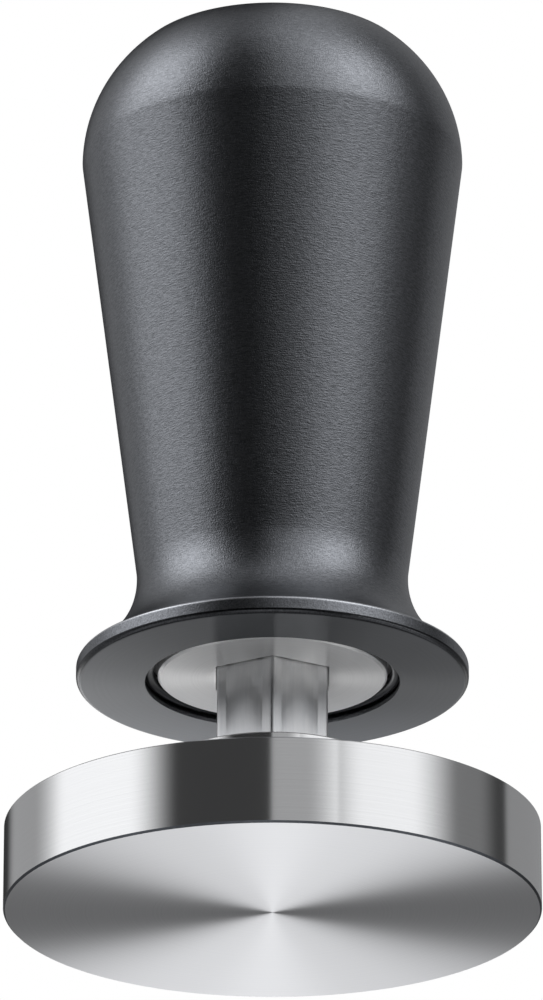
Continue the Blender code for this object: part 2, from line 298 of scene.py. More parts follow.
def between(angle, low, high, softness):
    """1 where the angle lies between two limits, with a smooth fall to 0 outside."""
    rise = add_node(
        sky, "ShaderNodeMapRange", {0: angle}, {1: low - softness, 2: low + softness},
        interpolation_type="SMOOTHSTEP",
    ).outputs[0]
    fall = add_node(
        sky, "ShaderNodeMapRange", {0: angle}, {1: high + softness, 2: high - softness},
        interpolation_type="SMOOTHSTEP",
    ).outputs[0]
    return add_node(sky, "ShaderNodeMath", {0: rise, 1: fall}, operation="MULTIPLY").outputs[0]


light = None
for name, (strength, sides, levels, side_soft, level_soft) in SOFT_BOXES.items():
    in_box = add_node(
        sky, "ShaderNodeMath",
        {0: between(compass, *sides, side_soft), 1: between(elevation, *levels, level_soft)},
        operation="MULTIPLY", label=name,
    ).outputs[0]
    so_far = {} if light is None else {2: light}
    light = add_node(
        sky, "ShaderNodeMath", {0: in_box, **so_far},
        {1: strength, 2: ROOM_GREY}, operation="MULTIPLY_ADD",
    ).outputs[0]

studio = add_node(sky, "ShaderNodeBackground", {"Strength": light}, {"Color": linear("#fbfcff")})
backdrop = add_node(sky, "ShaderNodeBackground", None, {"Color": (1, 1, 1, 1), "Strength": 1.0})
seen = add_node(sky, "ShaderNodeLightPath").outputs["Is Camera Ray"]
shown = add_node(
    sky, "ShaderNodeMixShader", {0: seen, 1: studio.outputs[0], 2: backdrop.outputs[0]}
)
add_node(sky, "ShaderNodeOutputWorld", {"Surface": shown.outputs[0]})
print("Studio has", len(SOFT_BOXES), "soft boxes")

# %% [markdown]
# Some light is near. Small white cards stand close round the gap between the base and the
# flange, so that the flange's underside, the guide plate and the shaft mirror them. They are
# area lights, because an area light casts no shadow itself. An area light's power in watts is
# its brightness times its area times pi. The camera doesn't see them, and light linking keeps
# them off the floor and the base.

# %% Cards round the gap
# name: (brightness, compass direction, distance, width, (low, high)), in degrees and mm
CARDS = {
    "back_card_left": (1.85, -156, 66, 56, (7, 26)),
    "back_card_right": (0.70, 156, 66, 56, (7, 26)),
    "front_strip_left": (0.5, -60, 42, 32, (11.5, 17)),
    "front_strip_right": (3.0, 60, 42, 32, (12, 18)),
}
lit_by_cards = bpy.data.collections.new("lit_by_cards")
for name, (brightness, compass_angle, distance, width, (low, high)) in CARDS.items():
    card_data = bpy.data.lights.new(name, "AREA")
    card_data.shape = "RECTANGLE"
    card_data.size = width * MM
    card_data.size_y = (high - low) * MM
    card_data.energy = brightness * math.pi * card_data.size * card_data.size_y
    card = bpy.data.objects.new(name, card_data)
    outward = Matrix.Rotation(math.radians(compass_angle), 3, "Z") @ Vector((0, -1, 0))
    card.location = (outward * distance + Vector((0, 0, (low + high) / 2))) * MM
    card.rotation_euler = (-outward).to_track_quat("-Z", "Y").to_euler()
    card.visible_camera = False
    card.light_linking.receiver_collection = lit_by_cards
    bpy.context.collection.objects.link(card)
    print(name, "stands at", [round(c * 1000) for c in card.location])

# %% [markdown]
# The tamper stands on a pale floor. The camera looks up from under it, so the floor is a
# one-way surface: from above it is plain pale paper that takes the tamper's shadow, and from
# below it lets the view and the light through. A Backfacing test picks the side, and a Light
# Path test lets reflections of the studio through too.

# %% Floor
FLOOR_SIZE = 4.0
FLOOR_GAP = 0.0002

floor_material = bpy.data.materials.new("pale_paper")
floor_material.use_nodes = True
paper = floor_material.node_tree
paper.nodes.clear()
matte = add_node(paper, "ShaderNodeBsdfDiffuse", None, {"Color": linear("#e9e9e8")})
clear = add_node(paper, "ShaderNodeBsdfTransparent")
under = add_node(paper, "ShaderNodeNewGeometry").outputs["Backfacing"]
straight = add_node(paper, "ShaderNodeLightPath").outputs["Is Camera Ray"]
above = add_node(paper, "ShaderNodeMath", {1: under}, {0: 1.0}, operation="SUBTRACT").outputs[0]
solid = add_node(paper, "ShaderNodeMath", {0: above, 1: straight}, operation="MULTIPLY").outputs[0]
one_way = add_node(
    paper, "ShaderNodeMixShader", {0: solid, 1: clear.outputs[0], 2: matte.outputs[0]}
)
add_node(paper, "ShaderNodeOutputMaterial", {"Surface": one_way.outputs[0]})

bm = bmesh.new()
bmesh.ops.create_grid(bm, x_segments=1, y_segments=1, size=FLOOR_SIZE / 2)
bmesh.ops.translate(bm, verts=bm.verts, vec=(0, 0, -FLOOR_GAP))
floor_mesh = bpy.data.meshes.new("floor")
bm.to_mesh(floor_mesh)
bm.free()
floor_mesh.materials.append(floor_material)
floor = bpy.data.objects.new("floor", floor_mesh)
bpy.context.collection.objects.link(floor)
print("Floor lies", FLOOR_GAP * 1000, "mm under the tamping face")

# %% [markdown]
# **Black anodised aluminium.** The handle is turned, blasted a little, then anodised and
# dyed black. Anodising keeps the metal's own reflection under a dark, slightly cool skin, so
# the material is a dark metal and not a black plastic.
#
# Two fine reliefs share the surface. The blasting leaves pits, and the turning leaves short
# streaks that run round the handle. Both are finer on the real metal, and are drawn about a
# seventh of a millimetre wide so that they show. The noise of the streaks is stretched in X
# and Y, and its third coordinate is height minus radius, which keeps growing up the flare,
# the cone and the dome, so the streaks follow every part of the outline.
#
# The same skin looks different where it was worked differently. The rim's upright face is
# only blasted, so it has no streaks. Its upper edge is coloured pale, a painted highlight
# that stands for the bright line of light along the rim's top. Its lower edge is coloured
# near black, a painted shade line under the rim. One function makes all four.

# %% Handle finish
PIT_SIZE = 0.14
GRAIN_DEPTH = 0.04


def black_anodised(name, dark, light, streak_length, streak_width, relief):
    """Blasted and anodised black aluminium. Sizes in mm, relief from 0 to 1."""
    material, tree, shader = new_material(name)
    in_mm = place_in_mm(tree)
    radius, height = radius_and_height(tree, in_mm)
    pits = add_node(
        tree, "ShaderNodeTexNoise", {"Vector": in_mm},
        {"Scale": 1 / PIT_SIZE, "Detail": 1.0, "Roughness": 0.5},
    ).outputs[0]
    up_outline = add_node(
        tree, "ShaderNodeMath", {0: height, 1: radius}, operation="SUBTRACT"
    ).outputs[0]
    place = add_node(tree, "ShaderNodeSeparateXYZ", {0: in_mm}).outputs
    streak_place = add_node(
        tree, "ShaderNodeCombineXYZ", {0: place["X"], 1: place["Y"], 2: up_outline}
    ).outputs[0]
    streak_place = add_node(
        tree, "ShaderNodeVectorMath", {0: streak_place},
        {1: (1 / streak_length, 1 / streak_length, 1 / streak_width)}, operation="MULTIPLY",
    ).outputs[0]
    streaks = add_node(
        tree, "ShaderNodeTexNoise", {"Vector": streak_place},
        {"Scale": 1.0, "Detail": 1.0, "Roughness": 0.5},
    ).outputs[0]
    grain = add_node(tree, "ShaderNodeMath", {0: pits, 1: streaks}, operation="ADD").outputs[0]
    tint = add_node(tree, "ShaderNodeMapRange", {0: grain}, {1: 0.7, 2: 1.3}).outputs[0]
    bump = add_node(
        tree, "ShaderNodeBump", {"Height": grain},
        {"Strength": relief, "Distance": GRAIN_DEPTH * MM},
    )
    tree.links.new(blended(tree, tint, dark, light), shader.inputs["Base Color"])
    tree.links.new(bump.outputs[0], shader.inputs["Normal"])
    shader.inputs["Metallic"].default_value = 1.0
    shader.inputs["Roughness"].default_value = 0.30
    smeared(tree, shader, 0.15)
    print("Made", name)
    return material


anodised = black_anodised("blasted_anodised_aluminium", "#6c6e71", "#8d8f93", 0.7, 0.13, 0.55)
blasted = black_anodised("blasted_black_rim", "#6c6e71", "#8d8f93", 0.2, 0.2, 0.45)
# Painted highlight: the rim's upper edge is coloured pale, as if lit.
painted_highlight_edge = black_anodised("upper_edge_painted_highlight", "#b4b6b9", "#d0d2d5", 0.2, 0.2, 0.15)
# Painted shade: the rim's lower edge is coloured near black, as if shaded.
painted_shade_edge = black_anodised("lower_edge_painted_shade", "#2e2f31", "#444547", 0.2, 0.2, 0.15)

# %% [markdown]
# **The handle.** Its outside is a drawing of four strokes: a flange with a thin upright rim,
# a hollow flare, a straight cone that widens upwards, and a dome that starts with a soft
# crease. The flare stops a few degrees short of the cone's slope, because the turner made
# the two in separate cuts, and that draws a faint line round the neck. The bores inside are
# part of the same outline, so the handle is one closed body with a real hollow for the spring.

# %% Handle outline
FLANGE_RADIUS = 21.4
FLANGE_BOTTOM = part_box("handle")[0].z / MM
NECK_RADIUS = 14.85
NECK_HEIGHT = 38.3
FLARE_ARC = 11.0
FLARE_BREAK = 3.4
CONE_ANGLE = 7.4
CONE_STEPS = 24
WIDEST_HEIGHT = 88.1
SHOULDER_ARC = 17.0
CREASE_ARC = 4.0
SHOULDER_END = 49.4
CROWN_EDGE_ARC = 2.85
CROWN_EDGE_END = 71.0
MOUTH_RADIUS = 13.9
GROOVE_RADIUS = 14.5
GROOVE_LOW = 26.95
GROOVE_HIGH = 28.85
COUNTERBORE_RADIUS = 13.6
COUNTERBORE_END = 32.2
BORE_RADIUS = 10.3
BORE_END = 82.5
RIM_CHAMFER = 0.34
RIM_MIDDLE = FLANGE_BOTTOM + 1.0
BORE_EDGE = 0.12
RIM_EDGE = 0.45
UPPER_RIM_EDGE = 0.5


def polar(radius, angle):
    """The point at a distance and an angle in degrees."""
    turn = math.radians(angle)
    return Vector((radius * math.cos(turn), radius * math.sin(turn)))


def handle_outside():
    """Points from the rim's upper edge to the crown."""
    flare_center = Vector((NECK_RADIUS + FLARE_ARC, NECK_HEIGHT))
    rim_angle = 180 + math.degrees(math.acos((flare_center.x - FLANGE_RADIUS) / FLARE_ARC))
    neck_angle = 180 - CONE_ANGLE + FLARE_BREAK
    flare = arc(flare_center, FLARE_ARC, rim_angle, neck_angle, steps=48)
    cone_foot = Vector(flare[-1])
    widest = cone_foot.x + (WIDEST_HEIGHT - cone_foot.y) * math.tan(math.radians(CONE_ANGLE))
    shoulder_center = Vector((widest - SHOULDER_ARC, WIDEST_HEIGHT))
    # The crease is a small arc that touches the cone outside and the shoulder inside.
    across = SHOULDER_ARC * math.cos(math.radians(CONE_ANGLE)) - CREASE_ARC
    crease_end = math.degrees(math.acos(across / (SHOULDER_ARC - CREASE_ARC))) - CONE_ANGLE
    crease_center = shoulder_center + polar(SHOULDER_ARC - CREASE_ARC, crease_end)
    crease = arc(crease_center, CREASE_ARC, -CONE_ANGLE, crease_end, steps=6)
    shoulder = arc(shoulder_center, SHOULDER_ARC, crease_end, SHOULDER_END, steps=32)
    edge_center = shoulder_center + polar(SHOULDER_ARC - CROWN_EDGE_ARC, SHOULDER_END)
    edge = arc(edge_center, CROWN_EDGE_ARC, SHOULDER_END, CROWN_EDGE_END, steps=8)
    crown_arc = edge[-1][0] / math.cos(math.radians(CROWN_EDGE_END))
    crown_center = (0, edge[-1][1] - crown_arc * math.sin(math.radians(CROWN_EDGE_END)))
    crown = arc(crown_center, crown_arc, CROWN_EDGE_END, 90, steps=16)
    cone_top = Vector(crease[0])
    cone = [tuple(cone_foot.lerp(cone_top, i / CONE_STEPS)) for i in range(1, CONE_STEPS)]
    return flare + cone + crease + shoulder[1:] + edge[1:] + crown[1:-1] + [(0, crown[-1][1])]


outside = handle_outside()
RIM_TOP = outside[0][1]
inside = [
    (0, BORE_END),
    (BORE_RADIUS, BORE_END),
    (BORE_RADIUS, COUNTERBORE_END),
    (COUNTERBORE_RADIUS, COUNTERBORE_END),
    (COUNTERBORE_RADIUS, GROOVE_HIGH),
    (GROOVE_RADIUS, GROOVE_HIGH),
    (GROOVE_RADIUS, GROOVE_LOW),
    (MOUTH_RADIUS, GROOVE_LOW),
    (MOUTH_RADIUS, FLANGE_BOTTOM),
    (FLANGE_RADIUS - RIM_CHAMFER, FLANGE_BOTTOM),
    (FLANGE_RADIUS, FLANGE_BOTTOM + RIM_CHAMFER),
    (FLANGE_RADIUS, RIM_MIDDLE),
]
# The corner of the mouth stays sharp, so the outline is rounded in two runs that meet there.
mouth_corner = inside.index((MOUTH_RADIUS, FLANGE_BOTTOM))
bores = softened(inside[: mouth_corner + 1], BORE_EDGE)
lower_rim = softened(inside[mouth_corner:], RIM_EDGE)
# The rim's upper fillet takes the place of the first few points of the flare.
upper_rim = softened([inside[-1], outside[0], outside[3]], UPPER_RIM_EDGE, steps=5)
handle = finished(
    turned(bores + lower_rim[1:] + upper_rim[1:] + outside[4:]), "handle_body", "handle_body",
    "handle", anodised,
)

# %% [markdown]
# **Turned and polished steel.** The base's wall is turned and then polished while it spins,
# so it is nearly a mirror sideways and slightly smeared up and down. Its marks run round the
# wall as hair-thin lines. The tamping face is left as the facing cut made it: fine rings
# round the centre. Rings like these spread the light along the radius, so the face shows two
# bright fans that meet in a point at the centre, with a dark wedge on either side.
#
# All of these are the same steel. Only the roughness, the marks and the amount of smear
# differ, so one function makes them all. In a coarse cut, light bounces between the ridges
# and comes out softer, which a metallic value below 1 stands for.

# %% Turned steel finishes
MARK_DEPTH = 0.02


def turned_steel(name, color, metallic, roughness, smear, marks, ring_width, across="radius"):
    """Steel with turning marks, ring_width mm apart, spread across the radius or the height."""
    material, tree, shader = new_material(name)
    radius, height = radius_and_height(tree, place_in_mm(tree))
    along = radius if across == "radius" else height
    line = add_node(tree, "ShaderNodeCombineXYZ", {0: along})
    marks_noise = add_node(
        tree, "ShaderNodeTexNoise", {"Vector": line.outputs[0]},
        {"Scale": 1 / ring_width, "Detail": 3.0, "Roughness": 0.7},
    ).outputs[0]
    shade = add_node(
        tree, "ShaderNodeMapRange", {0: marks_noise},
        {1: 0.25, 2: 0.75, 3: 1.0 - marks, 4: 1.0 + marks},
    ).outputs[0]
    tinted = add_node(
        tree, "ShaderNodeVectorMath", {3: shade}, {0: linear(color)[:3]}, operation="SCALE"
    ).outputs[0]
    bump = add_node(
        tree, "ShaderNodeBump", {"Height": marks_noise},
        {"Strength": marks, "Distance": MARK_DEPTH * MM},
    )
    tree.links.new(tinted, shader.inputs["Base Color"])
    tree.links.new(bump.outputs[0], shader.inputs["Normal"])
    shader.inputs["Metallic"].default_value = metallic
    shader.inputs["Roughness"].default_value = roughness
    smeared(tree, shader, smear)
    print("Made", name)
    return material


polished = turned_steel("polished_turned_steel", "#e5e5e4", 0.90, 0.12, 0.70, 0.06, 0.16, "height")
faced = turned_steel("faced_steel", "#dcdcdc", 1.0, 0.40, 0.92, 0.05, 0.22)
plate_face = turned_steel("coarse_faced_steel", "#f0f0f0", 0.85, 0.42, 0.90, 0.05, 0.30)
satin = turned_steel("satin_turned_steel", "#e2e2e1", 0.45, 0.42, 0.60, 0.08, 0.25)

# %% [markdown]
# The sharp corner between the wall and the tamping face is broken with a small chamfer. Its
# steel is coloured dark, a painted shade that draws a thin dark line round the base. It
# gets its own material on its own faces.

# %% Chamfer finish
SPECKS_A_MM = 3.0

# Painted shade: the chamfer's steel is coloured dark, to draw a dark line round the base.
chamfer, tree, shader = new_material("edge_steel_painted_shade")
speck = add_node(
    tree, "ShaderNodeTexNoise", {"Vector": place_in_mm(tree)}, {"Scale": SPECKS_A_MM, "Detail": 2.0}
).outputs[0]
tree.links.new(blended(tree, speck, "#3c3e41", "#54575b"), shader.inputs["Base Color"])
shader.inputs["Metallic"].default_value = 1.0
shader.inputs["Roughness"].default_value = 0.35
print("Made", chamfer.name)

# %% [markdown]
# The flange's lower face is faced flat after the handle is blasted. It has no pits, only
# rings round the centre, and they spread its highlights along the radius as those of the
# tamping face do.

# %% Underside finish
RINGS_A_MM = 3.0

faced_black, tree, shader = new_material("faced_black_anodised")
radius, height = radius_and_height(tree, place_in_mm(tree))
ring_line = add_node(tree, "ShaderNodeCombineXYZ", {0: radius})
rings = add_node(
    tree, "ShaderNodeTexNoise", {"Vector": ring_line.outputs[0]},
    {"Scale": RINGS_A_MM, "Detail": 3.0},
).outputs[0]
tree.links.new(blended(tree, rings, "#696b6e", "#747679"), shader.inputs["Base Color"])
shader.inputs["Metallic"].default_value = 1.0
shader.inputs["Roughness"].default_value = 0.34
smeared(tree, shader, 0.88)
print("Made", faced_black.name)

# %% [markdown]
# A piece can wear several finishes: each face has a material number. The faces are picked by
# where they are and which way they point. It could be done by face number, but numbers change
# whenever the outline does, and a radius or a height doesn't.

# %% Give the handle its finishes
ON_LEVEL = 0.01
LEVEL = 0.9
UPRIGHT = 0.1
NEAR_RIM = 0.1
UPPER_EDGE_DEPTH = 0.3
UPPER_EDGE_RISE = 0.2
LOWER_EDGE_DEPTH = 0.5
STEEPEST_FILLET = 0.8
LOWER_EDGE_LEVEL = 0.95


def give(piece, material, test):
    """Put a material on the faces whose mean radius and height, in mm, pass a test."""
    piece.data.materials.append(material)
    slot = len(piece.data.materials) - 1
    count = 0
    for face in piece.data.polygons:
        middle = face.center / MM
        if test(Vector(middle[:2]).length, middle.z, face.normal):
            face.material_index = slot
            count += 1
    print(material.name, "is on", count, "faces of", piece.name)


def is_upper_edge(r, z, n):
    near = r > FLANGE_RADIUS - UPPER_EDGE_DEPTH and RIM_MIDDLE < z < RIM_TOP + UPPER_EDGE_RISE
    return near and UPRIGHT <= n.z < STEEPEST_FILLET


def is_lower_edge(r, z, n):
    near = r > FLANGE_RADIUS - LOWER_EDGE_DEPTH and z < RIM_MIDDLE
    return near and -LOWER_EDGE_LEVEL < n.z <= -UPRIGHT


def is_upright(r, z, n):
    return r > FLANGE_RADIUS - NEAR_RIM and z < RIM_TOP and abs(n.z) < UPRIGHT


give(handle, faced_black, lambda r, z, n: z < FLANGE_BOTTOM + ON_LEVEL and n.z < -LEVEL)
give(handle, blasted, is_upright)
# Painted highlight: pale colour on the rim's upper edge.
give(handle, painted_highlight_edge, is_upper_edge)
# Painted shade: near-black colour on the rim's lower edge.
give(handle, painted_shade_edge, is_lower_edge)

# %% [markdown]
# **The base.** Disc and boss are turned from one bar, with a drilled hole in the boss for
# the stud. The inner corner under the boss keeps the radius of the tool.

# %% Base outline
BASE_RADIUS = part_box("base")[1].x / MM
BOSS_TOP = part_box("base")[1].z / MM
BASE_HEIGHT = 9.5
BOSS_RADIUS = 12.2
BASE_CHAMFER = 0.22
BASE_EDGE = 0.12
TOOL_RADIUS = 1.0
BOSS_EDGE = 0.15
STUD_HOLE_RADIUS = 4.0
STUD_HOLE_END = 6.0
STUD_HOLE_EDGE = 0.3
DRILL_POINT = 1.2

corners = [
    (0, 0),
    (BASE_RADIUS - BASE_CHAMFER, 0),
    (BASE_RADIUS, BASE_CHAMFER),
    (BASE_RADIUS, BASE_HEIGHT - BASE_EDGE),
    (BASE_RADIUS - BASE_EDGE, BASE_HEIGHT),
    *arc((BOSS_RADIUS + TOOL_RADIUS, BASE_HEIGHT + TOOL_RADIUS), TOOL_RADIUS, 270, 180, steps=8),
    (BOSS_RADIUS, BOSS_TOP - BOSS_EDGE),
    (BOSS_RADIUS - BOSS_EDGE, BOSS_TOP),
    (STUD_HOLE_RADIUS + STUD_HOLE_EDGE, BOSS_TOP),
    (STUD_HOLE_RADIUS, BOSS_TOP - STUD_HOLE_EDGE),
    (STUD_HOLE_RADIUS, STUD_HOLE_END),
    (0, STUD_HOLE_END - DRILL_POINT),
]
base = finished(turned(corners), "base_disc", "base_body", "base", polished)
give(base, faced, lambda r, z, n: z < ON_LEVEL and n.z < -LEVEL)
give(base, satin, lambda r, z, n: z > BASE_HEIGHT - ON_LEVEL and n.z > LEVEL)
give(base, chamfer, lambda r, z, n: r > BASE_RADIUS - BASE_CHAMFER and ON_LEVEL < z < BASE_CHAMFER)

# %% [markdown]
# **The guide plate.** A turned disc with a hexagonal hole that slides on the shaft. A round
# loop and a hexagonal loop can be joined by Bridge Edge Loops when both have the same number
# of points, so each hexagon is a six-sided circle whose edges are cut into equal steps. That
# gives clean faces between the round rim and the hexagon, with no Boolean.

# %% Loops and bridges
HEX_FLATS = 12.0
GUIDE_PLAY = 0.12
LOOP_POINTS = 192


def round_loop(bm, radius, height):
    """A circle of LOOP_POINTS points at a height. Returns its edges."""
    known = set(bm.edges)
    bmesh.ops.create_circle(
        bm, segments=LOOP_POINTS, radius=radius, matrix=Matrix.Translation((0, 0, height))
    )
    return [edge for edge in bm.edges if edge not in known]


def hexagon_loop(bm, flats, height):
    """A hexagon with a corner towards -Y, its edges cut so that it has LOOP_POINTS points."""
    known = set(bm.edges)
    bmesh.ops.create_circle(
        bm, segments=6, radius=flats / math.sqrt(3), matrix=Matrix.Translation((0, 0, height))
    )
    sides = [edge for edge in bm.edges if edge not in known]
    bmesh.ops.subdivide_edges(bm, edges=sides, cuts=LOOP_POINTS // 6 - 1)
    return [edge for edge in bm.edges if edge not in known]


def bridged(bm, loops, closed=True):
    """Join each loop to the next, and the last to the first if closed, else cap both ends."""
    pairs = list(zip(loops, loops[1:]))
    if closed:
        pairs.append((loops[-1], loops[0]))
    for near, far in pairs:
        bmesh.ops.bridge_loops(bm, edges=near + far)
    if not closed:
        bmesh.ops.contextual_create(bm, geom=loops[0])
        bmesh.ops.contextual_create(bm, geom=loops[-1])
    return bm


PLATE_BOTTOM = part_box("guide_plate")[0].z / MM
PLATE_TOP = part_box("guide_plate")[1].z / MM
PLATE_STEP = PLATE_BOTTOM + 1.95
FACE_RADIUS = 12.5
FACE_EDGE = 0.25
SEATED_RADIUS = 13.3
SEATED_EDGE = 0.2
HOLE_EDGE = 0.12
hole = HEX_FLATS + 2 * GUIDE_PLAY
hole_mouth = hole + 2 * HOLE_EDGE

bm = bmesh.new()
plate_loops = [
    hexagon_loop(bm, hole, PLATE_BOTTOM + HOLE_EDGE),
    hexagon_loop(bm, hole_mouth, PLATE_BOTTOM),
    round_loop(bm, FACE_RADIUS - FACE_EDGE, PLATE_BOTTOM),
    round_loop(bm, FACE_RADIUS, PLATE_BOTTOM + FACE_EDGE),
    round_loop(bm, FACE_RADIUS, PLATE_STEP),
    round_loop(bm, SEATED_RADIUS, PLATE_STEP),
    round_loop(bm, SEATED_RADIUS, PLATE_TOP - SEATED_EDGE),
    round_loop(bm, SEATED_RADIUS - SEATED_EDGE, PLATE_TOP),
    hexagon_loop(bm, hole_mouth, PLATE_TOP),
    hexagon_loop(bm, hole, PLATE_TOP - HOLE_EDGE),
]
plate = finished(
    bridged(bm, plate_loops), "guide_plate_disc", "handle_body", "guide_plate",
    plate_face,
)

# %% [markdown]
# **The snap ring.** A ring of round spring wire, with a gap so that it can be squeezed into
# the groove of the handle's mouth. Its section is a circle, spun through a little less than
# a full turn. The two ends are then capped.

#
# The wire is blackened in a bath, which leaves a dark film with small duller patches.

# %% Snap ring
PATCHES_A_MM = 1.4

blackened, tree, shader = new_material("blackened_spring_wire")
film = add_node(
    tree, "ShaderNodeTexNoise", {"Vector": place_in_mm(tree)},
    {"Scale": PATCHES_A_MM, "Detail": 3.0},
).outputs[0]
film_rough = add_node(tree, "ShaderNodeMapRange", {0: film}, {3: 0.24, 4: 0.42}).outputs[0]
tree.links.new(blended(tree, film, "#2a2b2d", "#4b4d50"), shader.inputs["Base Color"])
tree.links.new(film_rough, shader.inputs["Roughness"])
shader.inputs["Metallic"].default_value = 1.0

RING_RADIUS = 13.5
RING_WIRE = 0.6
RING_HEIGHT = 27.75
RING_GAP = 12


def wire_ring(radius, wire, height, gap, sides=24, steps=180):
    """A round wire bent round Z, with a gap in degrees at +Y."""
    bm = bmesh.new()
    stand = Matrix.Translation((radius, 0, height)) @ Matrix.Rotation(math.pi / 2, 4, "X")
    section = bmesh.ops.create_circle(bm, segments=sides, radius=wire, matrix=stand)["verts"]
    bmesh.ops.rotate(bm, verts=section, matrix=Matrix.Rotation(math.radians(90 + gap / 2), 3, "Z"))
    edges = list({edge for vert in section for edge in vert.link_edges})
    swept = bmesh.ops.spin(
        bm, geom=section + edges, cent=(0, 0, 0), axis=(0, 0, 1),
        angle=math.radians(360 - gap), steps=steps, use_merge=False,
    )
    last = [item for item in swept["geom_last"] if isinstance(item, bmesh.types.BMEdge)]
    bmesh.ops.contextual_create(bm, geom=edges)
    bmesh.ops.contextual_create(bm, geom=last)
    return bm


ring = finished(
    wire_ring(RING_RADIUS, RING_WIRE, RING_HEIGHT, RING_GAP), "snap_ring_wire", "handle_body",
    "snap_ring", blackened,
)

# %% [markdown]
# **Drawn steel.** The shaft is a piece of bright hexagonal bar. Bar is drawn through a die,
# which leaves fine lines along its length and a few dull smudges. A noise that is stretched
# along Z gives the lines, and a coarse noise changes the roughness.

# %% Shaft finish
LINES_A_MM = 2.2
LINE_STRETCH = 0.06
SMUDGES_A_MM = 0.28
LINE_DEPTH = 0.03

drawn, tree, shader = new_material("bright_drawn_steel")
in_mm = place_in_mm(tree)
stretched = add_node(
    tree, "ShaderNodeVectorMath", {0: in_mm}, {1: (1, 1, LINE_STRETCH)}, operation="MULTIPLY"
)
lines = add_node(
    tree, "ShaderNodeTexNoise", {"Vector": stretched.outputs[0]},
    {"Scale": LINES_A_MM, "Detail": 3.0, "Roughness": 0.65},
).outputs[0]
smudge = add_node(
    tree, "ShaderNodeTexNoise", {"Vector": in_mm}, {"Scale": SMUDGES_A_MM, "Detail": 4.0}
).outputs[0]
mixed = add_node(tree, "ShaderNodeMath", {0: lines, 1: smudge}, operation="MULTIPLY").outputs[0]
shade = add_node(tree, "ShaderNodeMapRange", {0: mixed}, {1: 0.12, 2: 0.40}).outputs[0]
dullness = add_node(
    tree, "ShaderNodeMapRange", {0: smudge}, {1: 0.3, 2: 0.7, 3: 0.32, 4: 0.36}
).outputs[0]
scratches = add_node(
    tree, "ShaderNodeBump", {"Height": lines}, {"Strength": 0.15, "Distance": LINE_DEPTH * MM}
).outputs[0]
tree.links.new(blended(tree, shade, "#dadbdc", "#e8e8e8"), shader.inputs["Base Color"])
tree.links.new(dullness, shader.inputs["Roughness"])
tree.links.new(scratches, shader.inputs["Normal"])
shader.inputs["Metallic"].default_value = 1.0
print("Made", drawn.name)

# %% [markdown]
# **The hexagonal shaft.** The loops run in order along the bar: the end of the upper tapped
# hole, its mouth, the turned end, the six flats, and the lower hole. The six long corners
# are then rounded with a small bevel, as the die leaves them.

# %% Hexagonal shaft
SHAFT_BOTTOM = BOSS_TOP
SHAFT_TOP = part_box("hex_shaft")[1].z / MM
CORNER_ROUNDING = 0.40
TURNED_END = 0.5
UPPER_HOLE_RADIUS = 3.0
UPPER_HOLE_END = 26.7
LOWER_HOLE_RADIUS = 4.0
LOWER_HOLE_END = 22.5

bm = bmesh.new()
shaft_loops = [
    round_loop(bm, UPPER_HOLE_RADIUS, UPPER_HOLE_END),
    round_loop(bm, UPPER_HOLE_RADIUS, SHAFT_TOP),
    round_loop(bm, HEX_FLATS / 2, SHAFT_TOP),
    hexagon_loop(bm, HEX_FLATS, SHAFT_TOP - TURNED_END),
    hexagon_loop(bm, HEX_FLATS, SHAFT_BOTTOM),
    round_loop(bm, LOWER_HOLE_RADIUS, SHAFT_BOTTOM),
    round_loop(bm, LOWER_HOLE_RADIUS, LOWER_HOLE_END),
]
bridged(bm, shaft_loops, closed=False)
corner_radius = HEX_FLATS / math.sqrt(3) - ON_LEVEL
long_corners = [
    edge for edge in bm.edges
    if all(Vector(vert.co[:2]).length > corner_radius for vert in edge.verts)
    and abs(edge.verts[0].co.z - edge.verts[1].co.z) > 1
]
bmesh.ops.bevel(
    bm, geom=long_corners, offset=CORNER_ROUNDING, segments=3, profile=0.5,
    affect="EDGES", material=-1,
)
shaft = finished(bm, "hex_shaft_bar", "base_body", "hex_shaft", drawn)
print("Rounded", len(long_corners), "long corners")

# %% [markdown]
# The cards round the gap light only the pieces that form it.

# %% Light linking
for piece in (handle, plate, ring, shaft):
    lit_by_cards.objects.link(piece)

# %% [markdown]
# The remaining pieces are hidden inside the handle. They are seen when the tamper is taken
# apart to change the spring, so each one still gets its true shape and finish.
#
# **Turned steel, nylon, black oxide and spring steel.** The collar and the seat are turned
# from the same steel as the base. Nylon is a milky, slightly waxy plastic. Black oxide is a
# thin dark film on a metal, so it is a dark metal with an uneven gloss. Oiled spring wire is
# grey, with a film of oil that is thicker in some places.

# %% Finishes of the hidden pieces
GRAINS_A_MM = 6.0
hidden_steel = turned_steel("plain_turned_steel", "#cfcecb", 1.0, 0.34, 0.60, 0.10, 0.35)


def mottled(name, dark, light, metallic, smooth, rough, patch):
    """A surface whose colour and gloss change in patches of the given size in mm."""
    material, tree, shader = new_material(name)
    in_mm = place_in_mm(tree)
    patches = add_node(
        tree, "ShaderNodeTexNoise", {"Vector": in_mm}, {"Scale": 1 / patch, "Detail": 4.0}
    ).outputs[0]
    gloss = add_node(
        tree, "ShaderNodeMapRange", {0: patches}, {1: 0.3, 2: 0.7, 3: smooth, 4: rough}
    ).outputs[0]
    fine = add_node(
        tree, "ShaderNodeTexNoise", {"Vector": in_mm}, {"Scale": GRAINS_A_MM, "Detail": 2.0}
    ).outputs[0]
    bump = add_node(
        tree, "ShaderNodeBump", {"Height": fine}, {"Strength": 0.3, "Distance": MARK_DEPTH * MM}
    )
    tree.links.new(blended(tree, patches, dark, light), shader.inputs["Base Color"])
    tree.links.new(gloss, shader.inputs["Roughness"])
    tree.links.new(bump.outputs[0], shader.inputs["Normal"])
    shader.inputs["Metallic"].default_value = metallic
    print("Made", name)
    return material, shader


